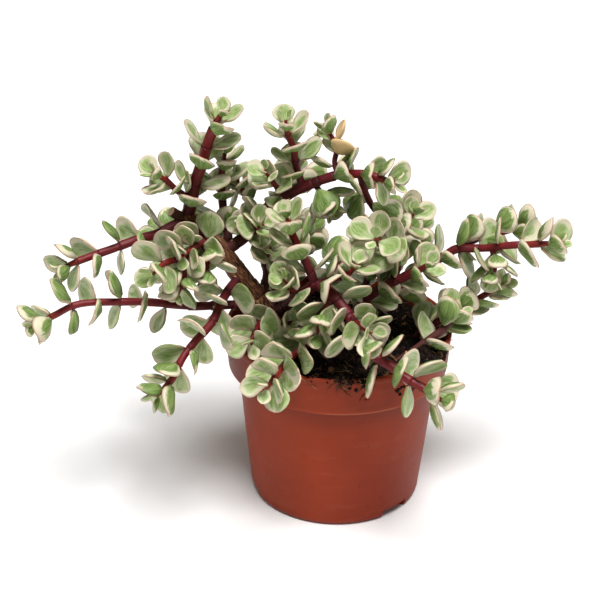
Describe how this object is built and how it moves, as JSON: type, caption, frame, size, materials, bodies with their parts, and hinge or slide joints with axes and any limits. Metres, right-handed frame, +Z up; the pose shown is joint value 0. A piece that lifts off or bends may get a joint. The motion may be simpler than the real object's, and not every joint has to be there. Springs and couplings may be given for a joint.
{
  "type": "potted variegated elephant bush",
  "caption": "Succulent bush with burgundy stems and small round cream-edged green leaves, in a round terracotta-coloured plastic nursery pot.",
  "frame": {"origin": "middle of the pot's flat base, on the surface it stands on", "axes": "+Z up along the pot's axis, -Y the front, +X to the right, along the widest spread of the shoots"},
  "size_m": [0.2809, 0.1732, 0.2261],
  "materials": {
    "pot": "satin",
    "soil": "matte",
    "bark": "matte",
    "stem": "satin",
    "leaf": "satin"
  },
  "bodies": {
    "root": {"pot": "pot", "soil": "soil", "trunk": "bark", "limb_left": "stem", "limb_middle": "stem", "limb_right": "stem", "limb_front": "stem", "stub_cut": "stem", "shoot_far_left_upper": "leaf", "shoot_far_left_lower": "leaf", "shoot_left_crown": "leaf", "shoot_left_crown_side": "leaf", "shoot_left_behind": "leaf", "shoot_right_upper": "leaf", "shoot_top_centre": "leaf", "shoot_top_small": "leaf", "shoot_inner_low": "leaf", "shoot_right_hanging": "leaf", "shoot_middle": "leaf", "shoot_left_low": "leaf", "shoot_left_front": "leaf", "shoot_front_left_hanging": "leaf", "shoot_front_low": "leaf", "shoot_front_centre": "leaf", "shoot_centre_rising": "leaf", "shoot_front_right_hanging": "leaf", "shoot_front_side": "leaf", "shoot_facing": "leaf", "stem_right": "leaf", "shoot_rosette": "leaf", "shoot_far_right": "leaf", "shoot_far_right_behind": "leaf", "shoot_right_low": "leaf", "shoot_right_outer": "leaf", "shoot_back_left": "leaf", "shoot_back_centre": "leaf", "shoot_back_upper": "leaf", "shoot_back_right": "leaf", "shoot_back_low": "leaf"}
  },
  "joints": []
}
